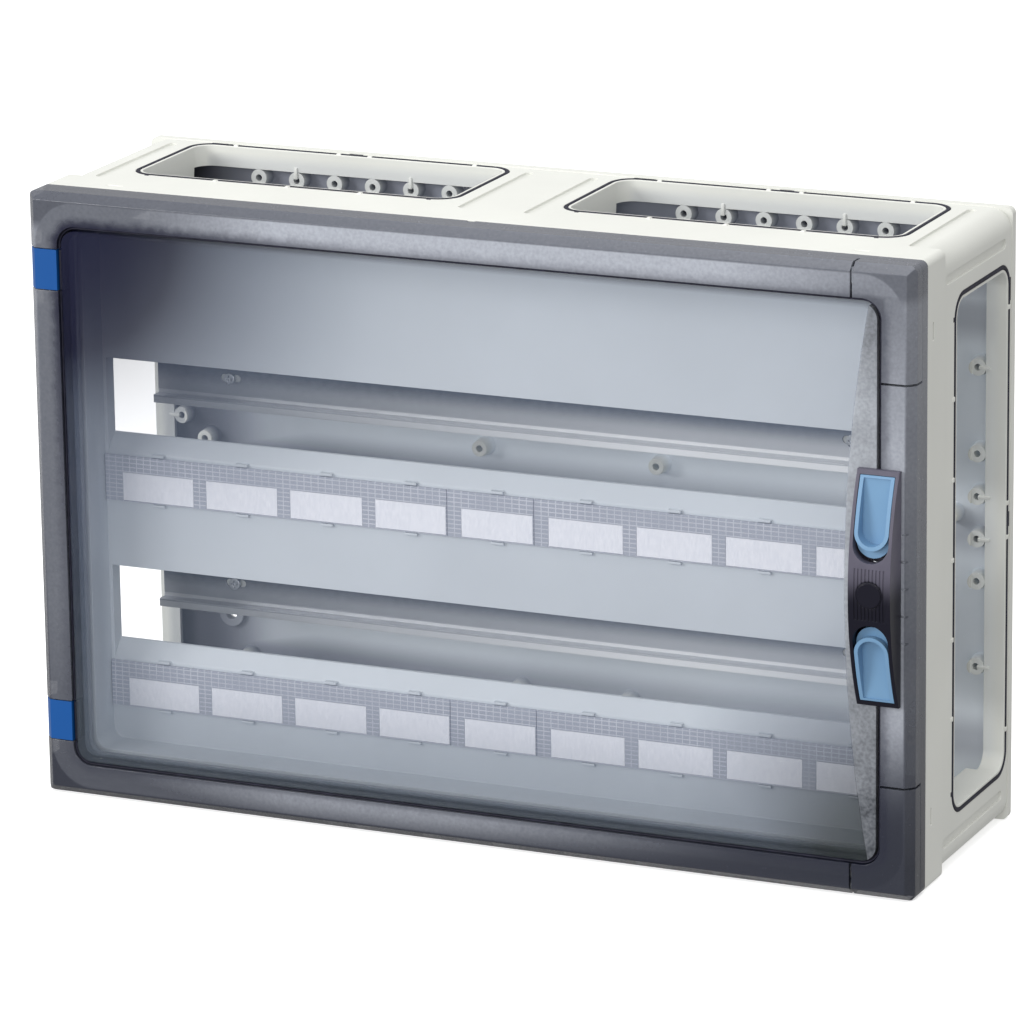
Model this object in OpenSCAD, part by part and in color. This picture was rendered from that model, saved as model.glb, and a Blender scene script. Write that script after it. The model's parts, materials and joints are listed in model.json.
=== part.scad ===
// Circuit breaker enclosure: moulded base with open wall flanges, two device rows,
// touch cover, bevelled cover frame and a hinged see-through door with a latch handle.
// Every piece is drawn lying on its back: x to the right, y up the wall, z out from the wall.
// upright() then stands it up, so the finished part has +Z up and its front towards -Y.

/* [Enclosure] */
// Overall width
box_w = 540; // [540:1:640]
// Overall height
box_h = 360; // [350:1:420]
// Depth from the wall to the front of the cover frame
box_d = 163; // [158:1:200]
// Wall thickness of the base
wall = 3.5; // [3:0.1:4]
// Corner radius of the collar, the rear flange and the cover frame
edge_r = 4; // [2:0.5:6]
// Corner radius of the side walls between collar and rear flange
wall_corner_r = 12; // [9:0.5:14]
// How far the side walls stand back from the collar
wall_step = 0.6; // [0.4:0.1:1]
// Depth of the full-size collar at the front of the base
collar_d = 27; // [22:1:32]
// Thickness of the full-size flange at the back of the base
rear_flange_d = 6; // [4:0.5:7]

/* [Wall openings] */
// Width of each opening in the top and bottom walls
top_opening_w = 198; // [150:1:205]
// Distance between the two top openings, centre to centre
top_opening_pitch = 270; // [260:1:274]
// Height of the opening in each side wall
side_opening_h = 292; // [200:1:294]
// Size of every opening along the depth of the box
opening_d = 82; // [60:1:84]
// Distance from the wall plane to the rear edge of the openings
opening_rear = 12; // [11:0.5:15]
// Corner radius of the openings
opening_r = 10; // [6:1:14]
// Depth of the collar along the long sides of an opening
opening_collar_d = 13; // [8:1:15]
// Depth of the collar at the short ends of an opening
opening_end_d = 20; // [16:1:22]
// Thickness of the opening collars
opening_collar_t = 3; // [2:0.5:4]
// Width of the seal round an opening
seal_w = 2.6; // [2:0.1:3]
// Land between the edge of an opening and its seal
seal_land = 1.7; // [1.2:0.1:2]
// Depth of the seal groove
seal_d = 2.4; // [1.5:0.1:2.5]
// How far a seal stands out of its groove
seal_proud = 0.3; // [0.1:0.1:0.3]

/* [Device rows] */
// Width of one device module
module_w = 18; // [17.5:0.5:18]
// Modules in one row
module_count = 27; // [20:1:27]
// Distance between the two rows
row_pitch = 125; // [120:1:150]
// Height of the middle of the two rows above the middle of the box
row_mid = -11; // [-14:1:0]
// Height of the rail's front lips above the wall plane
rail_z = 65; // [55:1:70]
// Overall height of the rail profile
rail_h = 35; // [35:1:35]
// Depth of the rail profile
rail_d = 7.5; // [7.5:7.5:15]
// Sheet thickness of the rail
rail_t = 1; // [1:0.1:1.5]
// Distance of the rail posts from the ends of the rail
post_inset = 48; // [43:1:90]

/* [Touch cover] */
// Height of the panel's front above the wall plane
panel_z = 121; // [116:1:124]
// Thickness of the panel and its ramps
panel_t = 2.5; // [2:0.1:3]
// Height of a device slot
slot_h = 46; // [45:0.5:47]
// Height of the ramp under a slot
ramp_h = 11; // [8:1:12]
// How far the ramp drops behind the panel
ramp_d = 7; // [4:1:8]
// Distance from the outside of the box to the inside of the tray
tray_inset = 24; // [23:0.5:25]
// Thickness of the tray's side walls
tray_wall = 2; // [1.5:0.1:2.5]
// Width of the tray's rim outside its walls
rim_w = 4; // [3:0.5:5]
// Height of the label strip
strip_h = 27.5; // [25:0.5:30]
// Width of one label card
card_w = 45.5; // [40:0.5:50]
// Height of one label card
card_h = 16.6; // [12:0.2:18]
// Height of the touch cover's screws above the middle of the box
device_screw_y = 137; // [120:1:145]

/* [Cover frame and door] */
// Depth of the cover frame
cover_d = 21; // [20:0.5:24]
// Width of the frame's strips, from the outside to the door recess
frame_strip = 19; // [18.5:0.5:22]
// Wall thickness of the cover frame
frame_skin = 3; // [2.5:0.1:3.2]
// Width of the bevel on the front edges
bevel_w = 4.5; // [3:0.5:6]
// Depth of the door recess
recess_d = 13; // [12.5:0.5:14]
// Width of the ledge at the bottom of the recess
ledge_w = 4; // [3:0.5:5]
// Gap between the door and the frame
door_gap = 2.5; // [2:0.1:3]
// Corner radius of the door
door_r = 9; // [6:1:14]
// Thickness of the door panel
door_t = 4; // [3:0.5:5]
// Thickness of the door's skirt
skirt_t = 3; // [2:0.5:3]
// Reach of the corner caps along the top and bottom strips
cap_w = 36; // [32:1:60]
// Reach of the corner caps along the right strip
cap_h = 65; // [50:1:80]

/* [Hinges] */
// Height of the hinge blocks above and below the middle
hinge_y = 135; // [110:1:135]
// Height of one hinge block
hinge_block_h = 24; // [20:1:26]
// Distance from the left side of the box to the hinge axis
hinge_inset = 9; // [8.5:0.1:9.5]
// Distance from the front of the door to the hinge axis
hinge_back = 5.5; // [5.2:0.1:5.8]
// Diameter of the hinge pin
hinge_pin_d = 4; // [3:0.1:4.2]

/* [Handle] */
// Width of the handle housing
handle_w = 24.5; // [23:0.5:26]
// Height of the handle housing
handle_h = 134; // [130:1:150]
// Height of the bow above the ends of the housing
handle_bow = 14.5; // [12:0.5:18]
// Height of the housing's ends above the door
handle_end = 3; // [2.5:0.1:4]
// Distance from the right side of the box to the middle of the handle
handle_inset = 19.25; // [19:0.05:20]
// Width of a latch
latch_w = 20; // [18:0.5:20.5]
// Travel of a latch
latch_travel = 5; // [3:0.5:5]
// Diameter of the round plug
plug_d = 15; // [12:0.5:16]

/* [Hidden] */
$fn = 48;

// Extra length of a cutting tool past the face it cuts
cut = 1;
// Gap between pieces that slide or turn past each other
slide_gap = 0.3;
// Radial play of the door on its hinge pins
pin_play = 0.06;
// Radial play of a screw or fixed pin in its hole
hole_play = 0.05;

half_w = box_w / 2;
half_h = box_h / 2;
joint_z = box_d - cover_d;
collar_z = joint_z - collar_d;
body_w = box_w - 2 * wall_step;
body_h = box_h - 2 * wall_step;
cavity_w = body_w - 2 * wall;
cavity_h = body_h - 2 * wall;
cavity_r = wall_corner_r - wall;
opening_mid_z = opening_rear + opening_d / 2;

// Screw bosses on the back wall
boss_root_d = 12;
boss_tip_d = 9.5;
boss_top = 14;
boss_hole_d = 4;
boss_pitch = 24.6;
boss_per_opening = 6;
boss_edge = 18;
side_boss_y = [12.5, 37.5, 88];
field_bosses = [[56, 11], [35, 135], [213, 135], [236, 0]];

// Wall fixing holes in the back
fixing_w = 450;
fixing_h = 220;
fixing_hole_d = 7;
fixing_pad_d = 16;
fixing_pad_h = 3;

// Grooves beside the wall openings and small slots on the collar
groove_w = 5.5;
groove_l = 97;
groove_rear = 15;
groove_depth = 1.5;
groove_off = 13;
rim_slot = [10, 2];
rim_slot_depth = 1;
rim_slot_edge = 41.5;
rim_slot_back = 9;

// Columns for the cover screws in the right corners
column_d = 12;
column_edge = 10;
cover_screw_d = 4;
cover_screw_head_d = 8;
cover_screw_head_h = 3;
cover_screw_grip = 24;
boss_wall = 4;

// Rows and rails
row_y = [row_mid + row_pitch / 2, row_mid - row_pitch / 2];
rail_len = module_w * module_count;
post_x = rail_len / 2 - post_inset;
rail_lip = 5;
rail_crown_h = rail_h - 2 * (rail_lip - rail_t);
rail_back = rail_z - rail_d;
post_w = 22;
post_h = 26;
post_leg = 3;
post_plate = 5;
post_foot_t = 4;
post_foot_l = 9;
post_boss_h = 8;
post_foot_z = wall + post_boss_h;
post_screw_y = post_h / 2 + post_foot_l / 2;
post_boss_d = 9;
small_screw_d = 3.8;
small_head_d = 7;
small_head_h = 2.4;
screw_drive = [0.6, 0.14];
rail_slot_play = 0.6;
rail_slot_l = 9;
rail_screw_l = 9;
post_screw_l = 7;

// Touch cover
slot_end_gap = 1;
slot_w = rail_len + 2 * slot_end_gap;
tray_w = box_w - 2 * tray_inset;
tray_h = box_h - 2 * tray_inset;
tray_r = 7;
rim_t = 2.5;
rim_lift = 1;
rim_top = joint_z + rim_lift;
slot_lip_t = 2;
slot_lip_d = 8;
strip_t = 2;
strip_gap = 0.4;
strip_w = tray_w - 2 * strip_gap;
card_pitch = 3 * module_w;
card_set = 11.5;
card_edge = 1;
card_count = ceil((strip_w - 2 * card_set) / card_pitch);
strip_seam_x = card_pitch / 2;
strip_seam_w = 0.6;
strip_seam_d = 1;
card_t = 0.8;
card_gap = 0.1;
card_low = 0.8;
clip_w = 8;
clip_t = 1.6;
tab_d = 13;
ear_w = 12;
ear_gap = 1;
ear_h = 24;
ear_tip_h = 10;
device_screw_d = 4;
device_head_d = 7.5;
device_head_h = 2.2;
device_screw_l = 12;
tray_out = half_w - tray_inset + tray_wall;
device_screw_x = tray_out + device_head_d / 2 + ear_gap;

// Cover frame
recess_w = box_w - 2 * frame_strip;
recess_h = box_h - 2 * frame_strip;
recess_r = door_r + door_gap;
ledge_top = box_d - recess_d;
ledge_t = 4;
bevel_d = 5;
cover_seal_w = 2;
cover_seal_d = 3;
cover_seal_mid = (wall + wall_step) / 2;
cap_gap = 1.2;
cap_seat = 0.1;
cap_lap = 0.5;
hook_y = 90;
hook_w = 30;
hook_t = 2.5;
hook_l = 10;
hook_nose = 1;
hook_nose_h = 3;
hook_root = 1;
hook_side_gap = 1;
vent_count = 5;
vent_pitch = 15.5;
vent_w = 1.2;
vent_depth = 1.5;
vent_reach = [2.5, 5];
joint_notch_d = 5;

// Door
door_w = recess_w - 2 * door_gap;
door_h = recess_h - 2 * door_gap;
window_step = 0.5;
panel_back = panel_z - panel_t;
door_back = box_d - door_t;
door_seal_t = 2;
door_seal_w = 3.4;
door_seal_in = 0.3;
seal_lip_t = 1.1;
seal_lip_low = 1.5;
skirt_bottom = ledge_top + door_seal_t + slide_gap;
crescent_depth = 19;
crescent_chord = 146;
crescent_bow = 12;
crescent_r = (crescent_chord * crescent_chord + crescent_bow * crescent_bow) / (2 * crescent_bow);

// Hinges
hinge_x = -half_w + hinge_inset;
hinge_z = box_d - hinge_back;
pocket_gap = 0.3;
pocket_lift = 0.5;
pocket_floor = ledge_top - ledge_t + pocket_lift;
hinge_ear = 10;
pin_in_ear = 9;
knuckle_wall = 2.3;
knuckle_r = hinge_pin_d / 2 + knuckle_wall;
arm_lift = 0.5;
arm_z0 = skirt_bottom + arm_lift;
arm_t = 3.2;
block_inset = 0.5;
block_left = half_w - block_inset;
block_right = recess_w / 2 + block_inset;
block_back_r = 9.2;

// Handle
handle_x = half_w - handle_inset;
handle_lift = 0.3;
handle_base = box_d + handle_lift;
handle_floor = 2;
pocket_base = handle_base + handle_floor;
chord = handle_h / 2;
bow_r = (chord * chord + handle_bow * handle_bow) / (2 * handle_bow);
bow_z = box_d + handle_end + handle_bow - bow_r;
pocket_w = latch_w + 2 * slide_gap;
handle_wall = 2.7;
latch_top = chord - handle_wall - slide_gap;
latch_len = 44.5;
latch_end = latch_top - latch_len;
latch_lip_set = 5;
latch_sink = 0.25;
latch_step = 5;
pocket_show = 2;
lip_t = 2.2;
lip_top_t = 1.4;
scoop_shallow = 0.7;
scoop_deep = 8;
stem_w = 4;
stem_l = 8;
stem_set = 19;
stem_y = latch_top - stem_set;
stem_x = door_w / 2 - skirt_t - slide_gap - stem_w;
nose_l = 4;
nose_t = 2.4;
nose_gap = 0.4;
keeper_gap = 1;
keeper_l = 7;
keeper_t = 3;
keeper_root = 1;
keeper_top = ledge_top - keeper_t / 3;
spring_bore_d = 6;
spring_lift = 3.6;
spring_z = pocket_base + spring_lift;
spring_seat = 4.5;
spring_in_latch = 5.5;
spring_wire = 0.45;
spring_r = 2.1;
spring_turns = 7;
handle_screw_y = 10;
handle_screw_d = 2.6;
handle_head_d = 4.6;
handle_screw_x = door_w / 2 - skirt_t - slide_gap - handle_head_d / 2;
handle_head_h = 2;
handle_screw_l = 11;
handle_screw_tip = 1;
plug_depth = 8;
plug_proud = 0.6;
rib_count = 9;
rib_pitch = 2.1;
rib_groove = 0.9;
rib_depth = 0.5;
rib_reach = latch_end - latch_travel;

// Placing and drawing helpers

module upright() rotate([90, 0, 0]) children();

module along_x(l) translate([-l / 2, 0, 0]) rotate([90, 0, 90]) linear_extrude(l) children();

module along_y(l) translate([0, l / 2, 0]) rotate([90, 0, 0]) linear_extrude(l) children();

module raise(z0, z1) translate([0, 0, z0]) linear_extrude(z1 - z0) children();

module both_x() {
    children();
    mirror([1, 0, 0]) children();
}

module both_y() {
    children();
    mirror([0, 1, 0]) children();
}

module corners(x, y) both_x() both_y() translate([x, y, 0]) children();

module rounded_rect(w, h, r) {
    square([w - 2 * r, h], center = true);
    square([w, h - 2 * r], center = true);
    for (sx = [-1, 1], sy = [-1, 1])
        translate([sx * (w / 2 - r), sy * (h / 2 - r)]) circle(r);
}

module ring(w, h, r, t) difference() {
    rounded_rect(w, h, r);
    rounded_rect(w - 2 * t, h - 2 * t, r - t);
}

module long_slot(w, l) {
    square([w, l - w], center = true);
    for (s = [-1, 1]) translate([0, s * (l - w) / 2]) circle(d = w);
}

// On a wall of the base: x along the wall, y out from the mounting plane, z outwards

module on_bottom() translate([0, -half_h, 0]) rotate([90, 0, 0]) children();

module on_top() mirror([0, 1, 0]) on_bottom() children();

module on_right() translate([half_w, 0, 0]) rotate([90, 0, 90]) children();

module on_left() mirror([1, 0, 0]) on_right() children();

module on_long_walls() {
    on_top() children();
    on_bottom() children();
}

module on_side_walls() {
    on_right() children();
    on_left() children();
}

module at_openings() for (s = [-1, 1]) translate([s * top_opening_pitch / 2, 0, 0]) children();

// Base box

module opening_outline(w, grow = 0)
    translate([0, opening_mid_z]) rounded_rect(w + 2 * grow, opening_d + 2 * grow, opening_r + grow);

module opening_collar(w) {
    top = -wall_step - wall / 2;
    raise(-opening_collar_d, top) opening_outline(w, opening_collar_t);
    for (s = [-1, 1])
        translate([s * (w + opening_collar_t) / 2, 0, 0])
            raise(-opening_end_d, top)
                translate([0, opening_mid_z])
                    square([opening_collar_t, opening_d - 2 * opening_r], center = true);
}

module seal_ring(w, play = 0) difference() {
    opening_outline(w, seal_land + seal_w - play);
    opening_outline(w, seal_land + play);
}

module opening_cut(w) {
    raise(-opening_end_d - cut, cut) opening_outline(w);
    raise(-wall_step - seal_d, cut) seal_ring(w);
}

module wall_groove(u)
    translate([u, groove_rear + groove_l / 2, 0])
        raise(-wall_step - groove_depth, cut) long_slot(groove_w, groove_l);

module collar_slot(u)
    translate([u, joint_z - rim_slot_back, 0]) raise(-rim_slot_depth, cut) square(rim_slot, center = true);

module wall_marks(w, off, edge) {
    for (s = [-1, 1]) {
        for (centre = off) wall_groove(centre + s * (w / 2 + groove_off + groove_w / 2));
        collar_slot(s * (edge - rim_slot_edge));
    }
}

module back_bosses() {
    row = [for (i = [0 : boss_per_opening - 1]) (i - (boss_per_opening - 1) / 2) * boss_pitch];
    both_y() for (s = [-1, 1], u = row)
        translate([s * top_opening_pitch / 2 + u, half_h - boss_edge, 0]) children();
    for (y = side_boss_y) corners(half_w - boss_edge, y) children();
    for (p = field_bosses) if (p[1] == 0) both_x() translate([p[0], 0, 0]) children();
    for (p = field_bosses) if (p[1] > 0) corners(p[0], p[1]) children();
}

module at_posts() for (y = row_y) both_x() translate([post_x, y, 0]) children();

module at_post_screws() at_posts() both_y() translate([0, post_screw_y, 0]) children();

module at_device_screws() corners(device_screw_x, device_screw_y) children();

module at_cover_screws() both_y() translate([half_w - column_edge, half_h - column_edge, 0]) children();

module base_shell() difference() {
    union() {
        raise(0, rear_flange_d) rounded_rect(box_w, box_h, edge_r);
        raise(0, collar_z) rounded_rect(body_w, body_h, wall_corner_r);
        raise(collar_z, joint_z) rounded_rect(box_w, box_h, edge_r);
    }
    raise(wall, joint_z + cut) rounded_rect(cavity_w, cavity_h, cavity_r);
}

module touch_cover_ear() {
    top = rim_top - rim_t;
    outer = cavity_w / 2 + wall / 2;
    inner = tray_out + ear_gap;
    translate([0, device_screw_y, 0])
        along_y(ear_w)
            polygon([[outer, top - ear_h], [outer, top], [inner, top], [inner, top - ear_tip_h]]);
}

module cover_seal_ring(play = 0) {
    mid_w = box_w - 2 * cover_seal_mid;
    mid_h = box_h - 2 * cover_seal_mid;
    t = cover_seal_w + 2 * play;
    ring(mid_w + t, mid_h + t, edge_r, t);
}

module base_box() upright() color([0.82, 0.83, 0.80]) difference() {
    union() {
        base_shell();
        on_long_walls() at_openings() opening_collar(top_opening_w);
        on_side_walls() opening_collar(side_opening_h);
        back_bosses() translate([0, 0, wall / 2])
            cylinder(d1 = boss_root_d, d2 = boss_tip_d, h = boss_top - wall / 2);
        at_post_screws() raise(wall / 2, post_foot_z) circle(d = post_boss_d);
        corners(fixing_w / 2, fixing_h / 2) raise(wall / 2, wall + fixing_pad_h) circle(d = fixing_pad_d);
        at_cover_screws() raise(wall / 2, joint_z) circle(d = column_d);
        both_x() both_y() touch_cover_ear();
    }
    on_long_walls() {
        at_openings() opening_cut(top_opening_w);
        wall_marks(top_opening_w, [-top_opening_pitch / 2, top_opening_pitch / 2], half_w);
    }
    on_side_walls() {
        opening_cut(side_opening_h);
        wall_marks(side_opening_h, [0], half_h);
    }
    back_bosses() raise(wall, boss_top + cut) circle(d = boss_hole_d);
    at_post_screws() raise(wall, post_foot_z + cut) circle(d = small_screw_d + 2 * hole_play);
    corners(fixing_w / 2, fixing_h / 2) raise(-cut, wall + fixing_pad_h + cut) circle(d = fixing_hole_d);
    at_cover_screws() raise(joint_z - cover_screw_grip - cut, joint_z + cut)
        circle(d = cover_screw_d + 2 * hole_play);
    at_device_screws() raise(rim_top - rim_t - device_screw_l - cut, rim_top)
        circle(d = device_screw_d + 2 * hole_play);
    raise(joint_z - cover_seal_d, joint_z + cut) cover_seal_ring(hole_play);
    both_y() translate([-cavity_w / 2, hook_y, joint_z - hook_l])
        cube([2 * (hook_nose + slide_gap), hook_w + 2 * hook_side_gap, 2 * (hook_nose_h + slide_gap)],
            center = true);
}

// Seals in the wall openings

module seal_solid(w) color([0.10, 0.10, 0.12])
    raise(-wall_step - seal_d, seal_proud - wall_step) seal_ring(w, hole_play);

module top_left_seal() upright() on_top() translate([-top_opening_pitch / 2, 0, 0]) seal_solid(top_opening_w);

module top_right_seal() upright() on_top() translate([top_opening_pitch / 2, 0, 0]) seal_solid(top_opening_w);

module bottom_left_seal()
    upright() on_bottom() translate([-top_opening_pitch / 2, 0, 0]) seal_solid(top_opening_w);

module bottom_right_seal()
    upright() on_bottom() translate([top_opening_pitch / 2, 0, 0]) seal_solid(top_opening_w);

module left_seal() upright() on_left() seal_solid(side_opening_h);

module right_seal() upright() on_right() seal_solid(side_opening_h);

// Rails and their posts

module rail_post() color([0.78, 0.79, 0.77]) difference() {
    union() {
        along_x(post_w) translate([-post_h / 2, post_foot_z]) square([post_h, rail_back - post_foot_z]);
        raise(post_foot_z, post_foot_z + post_foot_t)
            square([post_w, post_h + 2 * post_foot_l], center = true);
    }
    along_x(post_w + 2 * cut)
        translate([-post_h / 2 + post_leg, post_foot_z + post_foot_t])
            square([post_h - 2 * post_leg, rail_back - post_plate - post_foot_z - post_foot_t]);
    raise(rail_back - post_plate - cut, rail_back + cut) circle(d = small_screw_d + 2 * hole_play);
    both_y() translate([0, post_screw_y, 0])
        raise(post_foot_z - cut, post_foot_z + post_foot_t + cut) circle(d = small_screw_d + 2 * hole_play);
}

module upper_left_post() upright() translate([-post_x, row_y[0], 0]) rail_post();

module upper_right_post() upright() translate([post_x, row_y[0], 0]) rail_post();

module lower_left_post() upright() translate([-post_x, row_y[1], 0]) rail_post();

module lower_right_post() upright() translate([post_x, row_y[1], 0]) rail_post();

module pan_screw(seat, l, d, head_d, head_h) color([0.75, 0.76, 0.78]) difference() {
    union() {
        raise(seat - l, seat + head_h / 2) circle(d = d);
        raise(seat, seat + head_h) circle(d = head_d);
    }
    for (a = [0, 90]) rotate(a) raise(seat + head_h / 2, seat + head_h + cut)
        square(head_d * screw_drive, center = true);
}

module post_screws() upright() at_post_screws()
    pan_screw(post_foot_z + post_foot_t, post_foot_t + post_screw_l, small_screw_d,
        small_head_d, small_head_h);

module rail_profile() {
    for (s = [-1, 1]) {
        translate([s * (rail_h - rail_lip) / 2, rail_z - rail_t / 2])
            square([rail_lip, rail_t], center = true);
        translate([s * (rail_crown_h - rail_t) / 2, rail_z - rail_d / 2])
            square([rail_t, rail_d], center = true);
    }
    translate([0, rail_back + rail_t / 2]) square([rail_crown_h, rail_t], center = true);
}

module rail() color([0.74, 0.77, 0.80]) difference() {
    along_x(rail_len) rail_profile();
    both_x() translate([post_x, 0, 0]) raise(rail_back - cut, rail_back + rail_t + cut)
        rotate(90) long_slot(small_screw_d + rail_slot_play, small_screw_d + rail_slot_l);
}

module upper_rail() upright() translate([0, row_y[0], 0]) rail();

module lower_rail() upright() translate([0, row_y[1], 0]) rail();

module rail_screws() upright() at_posts()
    pan_screw(rail_back + rail_t, rail_t + rail_screw_l, small_screw_d, small_head_d, small_head_h);

// Touch cover with device slots

module at_rows() for (y = row_y) translate([0, y, 0]) children();

module slot_ramp() {
    inner = -slot_h / 2;
    outer = inner - ramp_h;
    along_x(slot_w) polygon([
        [inner, panel_z - ramp_d], [outer, panel_z], [outer - panel_t / 2, panel_z],
        [outer - panel_t / 2, panel_back], [outer, panel_back], [inner, panel_back - ramp_d]]);
}

module slot_lip()
    translate([0, (slot_h + slot_lip_t) / 2, 0])
        raise(panel_z - slot_lip_d, panel_back + panel_t / 2) square([slot_w, slot_lip_t], center = true);

module slot_cheeks() both_x()
    translate([(slot_w + slot_lip_t) / 2, slot_lip_t / 2 - ramp_h / 2, 0])
        raise(panel_back - ramp_d, panel_back + panel_t / 2)
            square([slot_lip_t, slot_h + slot_lip_t + ramp_h], center = true);

strip_top = -slot_h / 2 - ramp_h;

function card_left(i) = card_set - strip_w / 2 + i * card_pitch;

// A card ends at its full width or just before the next seam or the end of the strip
function card_right(i) = min([for (end = [-strip_seam_x, strip_seam_x, strip_w / 2])
    if (end > card_left(i) + card_set) min(card_left(i) + card_w, end - card_edge)]);

function card_mid(i) = (card_left(i) + card_right(i)) / 2;

module strip_clips() for (i = [0 : card_count - 1], y = [strip_top + clip_t / 2,
        strip_top - strip_h - 2 * strip_gap - clip_t / 2])
    translate([card_mid(i), y, 0])
        raise(panel_back, panel_z + strip_t) square([clip_w, clip_t], center = true);

module touch_cover() upright() color([0.78, 0.80, 0.81]) {
    difference() {
        union() {
            raise(panel_back, rim_top)
                rounded_rect(tray_w + 2 * tray_wall, tray_h + 2 * tray_wall, tray_r + tray_wall);
            raise(rim_top - rim_t, rim_top)
                rounded_rect(tray_w + 2 * (tray_wall + rim_w), tray_h + 2 * (tray_wall + rim_w),
                    tray_r + tray_wall + rim_w);
            at_device_screws() raise(rim_top - rim_t, rim_top) circle(d = tab_d);
        }
        raise(panel_z, rim_top + cut) rounded_rect(tray_w, tray_h, tray_r);
        at_rows() translate([0, -ramp_h / 2, 0])
            raise(panel_back - cut, panel_z + cut) square([slot_w, slot_h + ramp_h], center = true);
        at_device_screws() raise(rim_top - rim_t - cut, rim_top + cut)
            circle(d = device_screw_d + 2 * hole_play);
    }
    at_rows() {
        slot_ramp();
        slot_lip();
        slot_cheeks();
        strip_clips();
    }
}

module touch_cover_screws() upright() at_device_screws()
    pan_screw(rim_top, rim_t + device_screw_l, device_screw_d, device_head_d, device_head_h);

module card_outline(grow = 0) for (i = [0 : card_count - 1])
    translate([card_mid(i), strip_top - strip_gap - strip_h + card_low + card_h / 2])
        square([card_right(i) - card_left(i) + 2 * grow, card_h + 2 * grow], center = true);

module label_strip() color([0.70, 0.71, 0.78]) difference() {
    translate([0, strip_top - strip_gap - strip_h / 2, 0])
        raise(panel_z, panel_z + strip_t) square([strip_w, strip_h], center = true);
    raise(panel_z + strip_t - card_t, panel_z + strip_t + cut) card_outline(card_gap);
    both_x() translate([strip_seam_x, strip_top - strip_h / 2, 0])
        raise(panel_z + strip_t - strip_seam_d, panel_z + strip_t + cut)
            square([strip_seam_w, 2 * strip_h], center = true);
}

module label_cards() color([0.93, 0.93, 0.97])
    raise(panel_z + strip_t - card_t, panel_z + strip_t - card_gap) card_outline();

module upper_label_strip() upright() translate([0, row_y[0], 0]) label_strip();

module lower_label_strip() upright() translate([0, row_y[1], 0]) label_strip();

module upper_label_cards() upright() translate([0, row_y[0], 0]) label_cards();

module lower_label_cards() upright() translate([0, row_y[1], 0]) label_cards();

// Cover frame

module cover_seal() upright() color([0.12, 0.12, 0.13])
    raise(joint_z - cover_seal_d, joint_z) cover_seal_ring();

module bevel_profile(half) polygon([
    [-half, joint_z - cut], [half, joint_z - cut], [half, box_d - bevel_d],
    [half - bevel_w, box_d], [bevel_w - half, box_d], [-half, box_d - bevel_d]]);

module cover_outer() intersection() {
    raise(joint_z, box_d) rounded_rect(box_w, box_h, edge_r);
    along_y(box_h + 2 * cut) bevel_profile(half_w);
    along_x(box_w + 2 * cut) bevel_profile(half_h);
}

module cover_shell() difference() {
    cover_outer();
    raise(ledge_top, box_d + cut) rounded_rect(recess_w, recess_h, recess_r);
    raise(joint_z - cut, box_d)
        rounded_rect(recess_w - 2 * ledge_w, recess_h - 2 * ledge_w, recess_r - ledge_w);
    raise(joint_z - cut, ledge_top - ledge_t)
        rounded_rect(recess_w + 2 * frame_skin, recess_h + 2 * frame_skin, recess_r + frame_skin);
    raise(joint_z - cut, box_d - frame_skin) difference() {
        rounded_rect(box_w - 2 * frame_skin, box_h - 2 * frame_skin, edge_r / 2);
        rounded_rect(recess_w + 2 * frame_skin, recess_h + 2 * frame_skin, recess_r + frame_skin);
    }
}

module cap_zone(grow = 0) {
    inner_x = recess_w / 2 - cap_lap;
    inner_y = recess_h / 2 - cap_lap;
    left = half_w - cap_w - grow;
    low = half_h - cap_h - grow;
    translate([left, inner_y]) square([half_w - left + cut, half_h - inner_y + cut]);
    translate([inner_x, low]) square([half_w - inner_x + cut, half_h - low + cut]);
    translate([inner_x - recess_r, inner_y - recess_r]) square(2 * recess_r);
}

module corner_cap() intersection() {
    cover_shell();
    raise(ledge_top + cap_seat, box_d + cut) cap_zone();
}

module cap_floor() intersection() {
    raise(ledge_top - frame_skin, ledge_top) difference() {
        cap_zone(cap_gap + frame_skin);
        rounded_rect(recess_w - ledge_w, recess_h - ledge_w, recess_r - ledge_w / 2);
    }
    cover_outer();
}

module at_hinges() both_y() translate([0, hinge_y, 0]) children();

module hinge_fill() {
    h = hinge_block_h + 2 * (pocket_gap + hinge_ear);
    translate([-half_w + frame_skin / 2, -h / 2, joint_z + 2 * cut])
        cube([frame_strip - frame_skin, h, cover_d - 2 * cut - frame_skin / 2]);
}

module hinge_pocket() {
    h = hinge_block_h + 2 * pocket_gap;
    translate([-half_w - cut, -h / 2, pocket_floor])
        cube([frame_strip + cut + pocket_gap, h, box_d - pocket_floor + cut]);
}

module hinge_rod(d, l) translate([hinge_x, l / 2, hinge_z]) rotate([90, 0, 0]) cylinder(d = d, h = l);

module keeper() {
    x1 = recess_w / 2 - ledge_w + keeper_root;
    translate([stem_x, stem_y + stem_l / 2 + keeper_gap, keeper_top - keeper_t])
        cube([x1 - stem_x, keeper_l, keeper_t]);
}

module hook() {
    outer = -cavity_w / 2 + slide_gap;
    translate([-half_w + hook_root, hook_y - hook_w / 2, joint_z])
        cube([outer + hook_t + half_w - hook_root, hook_w, boss_wall]);
    translate([outer, hook_y - hook_w / 2, joint_z - hook_l - hook_nose_h / 2])
        cube([hook_t, hook_w, hook_l + hook_nose_h / 2 + boss_wall]);
    translate([outer - hook_nose, hook_y - hook_w / 2, joint_z - hook_l - hook_nose_h / 2])
        cube([hook_nose + hook_t, hook_w, hook_nose_h]);
}

module frame_vents()
    for (i = [0 : vent_count - 1])
        translate([half_w - bevel_w, (i - (vent_count - 1) / 2) * vent_pitch, box_d])
            cube([2 * vent_reach[i % 2], vent_w, 2 * vent_depth], center = true);

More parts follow.
